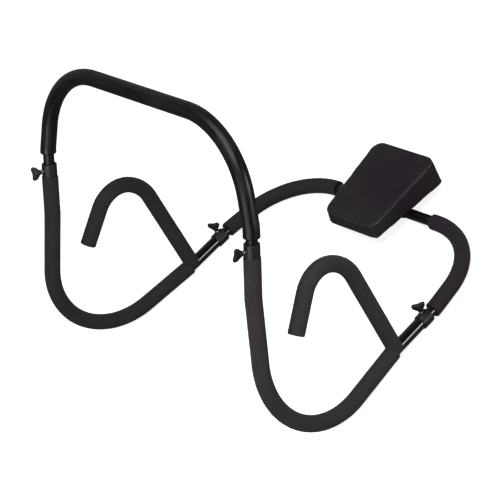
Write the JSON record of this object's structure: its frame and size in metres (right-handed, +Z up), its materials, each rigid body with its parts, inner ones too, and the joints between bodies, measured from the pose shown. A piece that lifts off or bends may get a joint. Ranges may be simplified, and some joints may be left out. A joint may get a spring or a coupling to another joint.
{
  "type": "abdominal crunch roller",
  "caption": "Tubular abdominal crunch roller with curved runners, a telescoping hand hoop, forearm rest hooks and a wedge head cushion on a telescoping rear bar.",
  "frame": {"origin": "centre of the overall footprint, on the floor under the runners", "axes": "+X to the right-hand side frame, +Y towards the head cushion along the runners, +Z up from the floor"},
  "size_m": [0.6934, 0.7086, 0.6471],
  "materials": {
    "black_steel": "gloss",
    "grip_foam": "matte",
    "hoop_foam": "satin",
    "black_plastic": "satin",
    "bare_steel": "satin",
    "black_vinyl": "satin",
    "plywood": "matte"
  },
  "bodies": {
    "frame": {"left_runner_tube": "black_steel", "left_runner_foam": "grip_foam", "left_arm_tube": "black_steel", "left_arm_foam": "grip_foam", "left_front_collar": "black_plastic", "left_rear_collar": "black_plastic", "right_runner_tube": "black_steel", "right_runner_foam": "grip_foam", "right_arm_tube": "black_steel", "right_arm_foam": "grip_foam", "right_front_collar": "black_plastic", "right_rear_collar": "black_plastic"},
    "hand_hoop": {"hoop_tube": "black_steel", "hoop_foam": "hoop_foam"},
    "head_frame": {"head_frame_tube": "black_steel", "left_head_frame_foam": "grip_foam", "right_head_frame_foam": "grip_foam"},
    "head_rest": {"head_cushion": "black_vinyl", "head_board": "plywood", "left_saddle_strap": "black_steel", "right_saddle_strap": "black_steel", "left_front_strap_screw": "bare_steel", "left_rear_strap_screw": "bare_steel", "right_front_strap_screw": "bare_steel", "right_rear_strap_screw": "bare_steel"},
    "left_front_clamp": {"left_front_knob": "black_plastic", "left_front_stud": "bare_steel"},
    "left_rear_clamp": {"left_rear_knob": "black_plastic", "left_rear_stud": "bare_steel"},
    "right_front_clamp": {"right_front_knob": "black_plastic", "right_front_stud": "bare_steel"},
    "right_rear_clamp": {"right_rear_knob": "black_plastic", "right_rear_stud": "bare_steel"}
  },
  "joints": [
    {"name": "hoop_height", "type": "slide", "parent": "frame", "child": "hand_hoop", "axis": [0, 0.4628, 0.8865], "range_m": [-0.006, 0.05]},
    {"name": "head_frame_reach", "type": "slide", "parent": "frame", "child": "head_frame", "axis": [0, 1, 0], "range_m": [-0.007, 0.045]},
    {"name": "cushion_tilt", "type": "hinge", "parent": "head_frame", "child": "head_rest", "pos_m": [0, 0.2532, 0.01589], "axis": [1, 0, 0], "range_deg": [-10, 10]},
    {"name": "left_front_knob_turn", "type": "hinge", "parent": "frame", "child": "left_front_clamp", "pos_m": [-0.3065, -0.24144, 0.44695], "axis": [0, -0.8865, 0.4628], "range_deg": [0, 720]},
    {"name": "left_rear_knob_turn", "type": "hinge", "parent": "frame", "child": "left_rear_clamp", "pos_m": [-0.307, 0.03394, 0.03739], "axis": [0, 0, 1], "range_deg": [0, 720]},
    {"name": "right_front_knob_turn", "type": "hinge", "parent": "frame", "child": "right_front_clamp", "pos_m": [0.3065, -0.24144, 0.44695], "axis": [0, -0.8865, 0.4628], "range_deg": [0, 720]},
    {"name": "right_rear_knob_turn", "type": "hinge", "parent": "frame", "child": "right_rear_clamp", "pos_m": [0.307, 0.03394, 0.03739], "axis": [0, 0, 1], "range_deg": [0, 720]}
  ]
}
